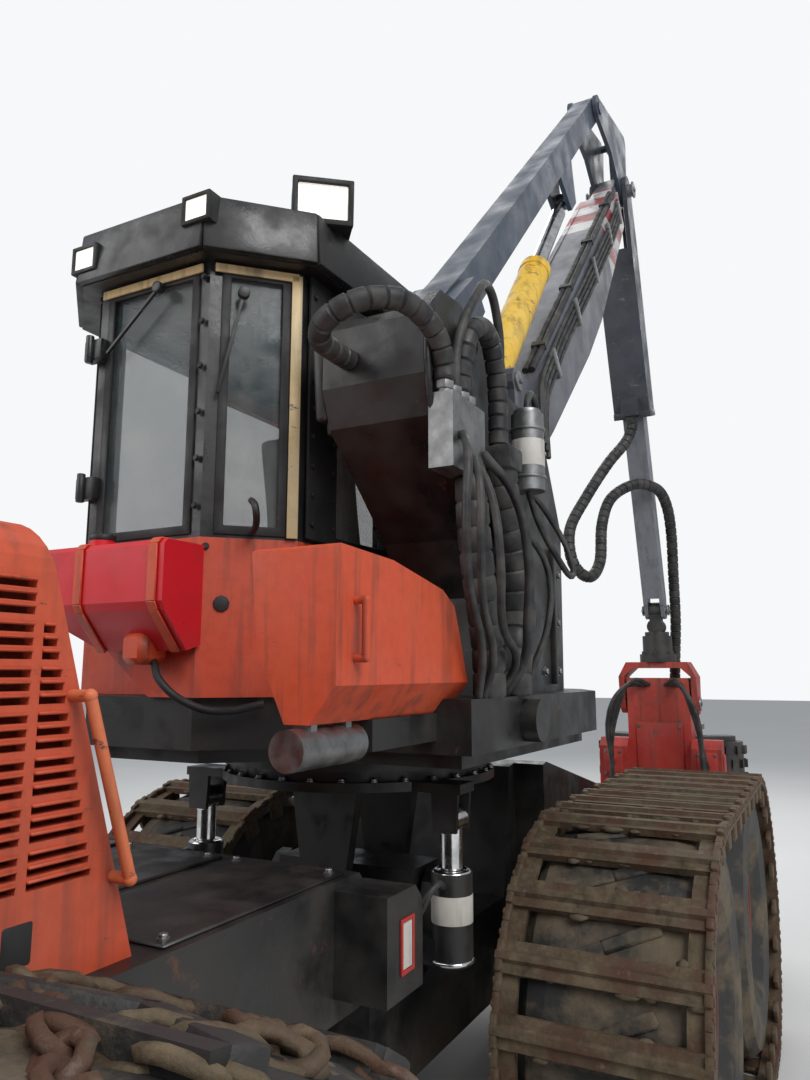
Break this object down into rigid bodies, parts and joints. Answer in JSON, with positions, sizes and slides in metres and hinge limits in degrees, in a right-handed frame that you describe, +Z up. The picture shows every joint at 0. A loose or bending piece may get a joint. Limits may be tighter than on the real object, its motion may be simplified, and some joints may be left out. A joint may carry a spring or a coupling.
{
  "type": "forestry harvester",
  "caption": "Frame-steered forestry harvester with band tracks on its front bogies, a levelled cab and parallel crane on a turntable, and a harvester head on the crane's tip.",
  "frame": {"origin": "on the ground below the middle of the machine's box", "axes": "+X forward, +Y to the left, +Z up"},
  "size_m": [8.14, 2.724, 5.9508],
  "materials": {
    "chassis_black": "worn satin",
    "bogie_black": "dirty matt",
    "front_rubber": "muddy matt",
    "rear_rubber": "muddy matt",
    "rim_red": "worn and muddy",
    "track_steel": "muddy, worn bright on the shoes",
    "rod_chrome": "polished",
    "platform_black": "oily satin",
    "cab_orange": "faded satin",
    "cab_black": "satin",
    "lamp_white": "clear lens",
    "glass": "clear",
    "seat_grey": "worn cloth",
    "tank_red": "blow moulded",
    "cover_orange": "faded satin",
    "canister_silver": "satin",
    "pillar_black": "streaked with grease",
    "valve_metal": "oily",
    "hose_black": "spiral wrapped",
    "boom_grey": "chalky, scratched",
    "link_grey": "chalky, scratched",
    "cylinder_yellow": "chipped",
    "pin_steel": "greasy",
    "jib_grey": "chalky, scratched",
    "extension_grey": "scuffed",
    "rotator_black": "oily",
    "head_red": "scraped",
    "arm_black": "worn",
    "knife_steel": "ground edge",
    "engine_grey": "matt",
    "hood_orange": "faded satin",
    "rail_orange": "worn satin"
  },
  "bodies": {
    "front_frame": {"front_frame": "chassis_black", "bogie_beams": "bogie_black", "front_tyres": "front_rubber", "front_rims": "rim_red", "band_track_left": "track_steel", "band_track_right": "track_steel"},
    "level_cross": {"level_cross": "chassis_black"},
    "level_rod_left": {"level_rod_left": "rod_chrome"},
    "level_rod_right": {"level_rod_right": "rod_chrome"},
    "tilt_table": {"tilt_table": "platform_black"},
    "slew_platform": {"slew_platform": "platform_black", "cab_tub": "cab_orange", "cab_frame": "cab_black", "cab_roof": "cab_black", "work_lamps": "lamp_white", "cab_glass": "glass", "seat": "seat_grey", "rear_tank": "tank_red", "valve_cover": "cover_orange", "canister": "canister_silver", "pillar": "pillar_black", "valve_block": "valve_metal", "pillar_hoses": "hose_black"},
    "cab_door": {"cab_door": "cab_orange", "door_glass": "glass"},
    "main_boom": {"main_boom": "boom_grey", "boom_hoses": "hose_black", "jib_pin": "pin_steel"},
    "top_link": {"top_link": "link_grey"},
    "lift_barrel": {"lift_barrel": "cylinder_yellow"},
    "lift_rod": {"lift_rod": "rod_chrome"},
    "boom_tip": {"boom_tip": "link_grey"},
    "jib_link": {"jib_link": "pin_steel"},
    "jib": {"jib": "jib_grey", "tip_hose": "hose_black"},
    "extension": {"extension": "extension_grey"},
    "tip_pin": {"tip_pin": "pin_steel"},
    "tip_link": {"tip_link": "rotator_black"},
    "head_rotor": {"rotator": "rotator_black", "tilt_yoke": "head_red"},
    "head": {"head_frame": "head_red"},
    "feed_arm_left": {"feed_arm_left": "arm_black"},
    "feed_arm_right": {"feed_arm_right": "arm_black"},
    "knife_left": {"knife_left": "knife_steel"},
    "knife_right": {"knife_right": "knife_steel"},
    "saw_bar": {"saw_bar": "pin_steel"},
    "rear_frame": {"rear_frame": "chassis_black", "engine": "engine_grey", "hood": "hood_orange", "hood_rails": "rail_orange"},
    "rear_wheel_left": {"rear_tyre_left": "rear_rubber", "rear_rim_left": "rim_red"},
    "rear_wheel_right": {"rear_tyre_right": "rear_rubber", "rear_rim_right": "rim_red"}
  },
  "joints": [
    {"name": "steer", "type": "hinge", "parent": "front_frame", "child": "rear_frame", "pos_m": [-0.755, 0, 0.78], "axis": [0, 0, 1], "range_deg": [-40, 40]},
    {"name": "rear_wheel_left_roll", "type": "hinge", "parent": "rear_frame", "child": "rear_wheel_left", "pos_m": [-2.605, 1.05, 0.85], "axis": [0, 1, 0], "continuous": true},
    {"name": "rear_wheel_right_roll", "type": "hinge", "parent": "rear_frame", "child": "rear_wheel_right", "pos_m": [-2.605, -1.05, 0.85], "axis": [0, 1, 0], "continuous": true},
    {"name": "level_pitch", "type": "hinge", "parent": "front_frame", "child": "level_cross", "pos_m": [-0.105, 0, 1.18], "axis": [0, 1, 0], "range_deg": [-8, 8]},
    {"name": "level_roll", "type": "hinge", "parent": "level_cross", "child": "tilt_table", "pos_m": [-0.105, 0, 1.18], "axis": [-1, 0, 0], "range_deg": [-8, 8]},
    {"name": "level_rod_left_slide", "type": "slide", "parent": "level_cross", "child": "level_rod_left", "axis": [0, 0, 1], "range_m": [-0.08, 0.08]},
    {"name": "level_rod_right_slide", "type": "slide", "parent": "level_cross", "child": "level_rod_right", "axis": [0, 0, 1], "range_m": [-0.08, 0.08]},
    {"name": "slew", "type": "hinge", "parent": "tilt_table", "child": "slew_platform", "pos_m": [-0.105, 0, 1.66], "axis": [0, 0, 1], "range_deg": [-110, 110]},
    {"name": "door_open", "type": "hinge", "parent": "slew_platform", "child": "cab_door", "pos_m": [-0.263, 0.7525, 2.6], "axis": [0, 0, 1], "range_deg": [0, 80]},
    {"name": "lift", "type": "hinge", "parent": "slew_platform", "child": "main_boom", "pos_m": [-0.005, -0.55, 2.87], "axis": [0, -1, 0], "range_deg": [-25, 28]},
    {"name": "top_link_swing", "type": "hinge", "parent": "slew_platform", "child": "top_link", "pos_m": [-0.685, -0.55, 3.09], "axis": [0, -1, 0], "range_deg": [-25, 28]},
    {"name": "lift_barrel_swing", "type": "hinge", "parent": "main_boom", "child": "lift_barrel", "pos_m": [-0.00732, -0.55, 3.17546], "axis": [0, -1, 0], "range_deg": [-3, 3.5]},
    {"name": "lift_rod_slide", "type": "slide", "parent": "lift_barrel", "child": "lift_rod", "axis": [0.6318, 0, 0.7752], "range_m": [-0.29, 0.345]},
    {"name": "boom_tip_level", "type": "hinge", "parent": "main_boom", "child": "boom_tip", "pos_m": [2.51349, -0.55, 5.45079], "axis": [0, -1, 0], "range_deg": [-28, 25]},
    {"name": "fold", "type": "hinge", "parent": "main_boom", "child": "jib", "pos_m": [2.51349, -0.55, 5.45079], "axis": [0, 1, 0], "range_deg": [-60, 8]},
    {"name": "jib_link_swing", "type": "hinge", "parent": "boom_tip", "child": "jib_link", "pos_m": [2.59349, -0.55, 5.89079], "axis": [0, 1, 0], "range_deg": [-4.5, 32]},
    {"name": "extend", "type": "slide", "parent": "jib", "child": "extension", "axis": [-0.309, 0, 0.9511], "range_m": [-1, 0]},
    {"name": "tip_swing", "type": "hinge", "parent": "extension", "child": "tip_pin", "pos_m": [3.48194, -0.55, 2.47018], "axis": [0, -1, 0], "range_deg": [-10, 30], "deforming": ["tip_hose"]},
    {"name": "tip_pin_level", "type": "hinge", "parent": "tip_pin", "child": "tip_link", "pos_m": [3.48194, -0.55, 2.47018], "axis": [0, 1, 0], "range_deg": [-8, 60]},
    {"name": "rotate_head", "type": "hinge", "parent": "tip_link", "child": "head_rotor", "pos_m": [3.48194, -0.55, 2.17018], "axis": [0, 0, 1], "continuous": true},
    {"name": "head_tilt", "type": "hinge", "parent": "head_rotor", "child": "head", "pos_m": [3.48194, -0.55, 1.76018], "axis": [0, -1, 0], "range_deg": [0, 90]},
    {"name": "feed_arm_left_open", "type": "hinge", "parent": "head", "child": "feed_arm_left", "pos_m": [3.63194, -0.38, 1.2], "axis": [0, 0, 1], "range_deg": [0, 28]},
    {"name": "knife_left_open", "type": "hinge", "parent": "head", "child": "knife_left", "pos_m": [3.63194, -0.38, 1.2], "axis": [0, 0, 1], "range_deg": [0, 45]},
    {"name": "feed_arm_right_open", "type": "hinge", "parent": "head", "child": "feed_arm_right", "pos_m": [3.63194, -0.72, 1.2], "axis": [0, 0, -1], "range_deg": [0, 28]},
    {"name": "knife_right_open", "type": "hinge", "parent": "head", "child": "knife_right", "pos_m": [3.63194, -0.72, 1.2], "axis": [0, 0, -1], "range_deg": [0, 45]},
    {"name": "saw_swing", "type": "hinge", "parent": "head", "child": "saw_bar", "pos_m": [3.58194, -0.77, 0.62], "axis": [0, 0, -1], "range_deg": [0, 90]}
  ],
  "couplings": [
    {"joint": "level_rod_left_slide", "follows": "level_roll", "m_per_rad": -0.54},
    {"joint": "level_rod_right_slide", "follows": "level_roll", "m_per_rad": 0.54},
    {"joint": "top_link_swing", "follows": "lift", "ratio": 1},
    {"joint": "lift_barrel_swing", "follows": "lift", "ratio": 0.1},
    {"joint": "lift_rod_slide", "follows": "lift", "m_per_rad": 0.65},
    {"joint": "boom_tip_level", "follows": "lift", "ratio": -1},
    {"joint": "jib_link_swing", "follows": "fold", "ratio": -0.52},
    {"joint": "tip_pin_level", "follows": "fold", "ratio": -1}
  ]
}
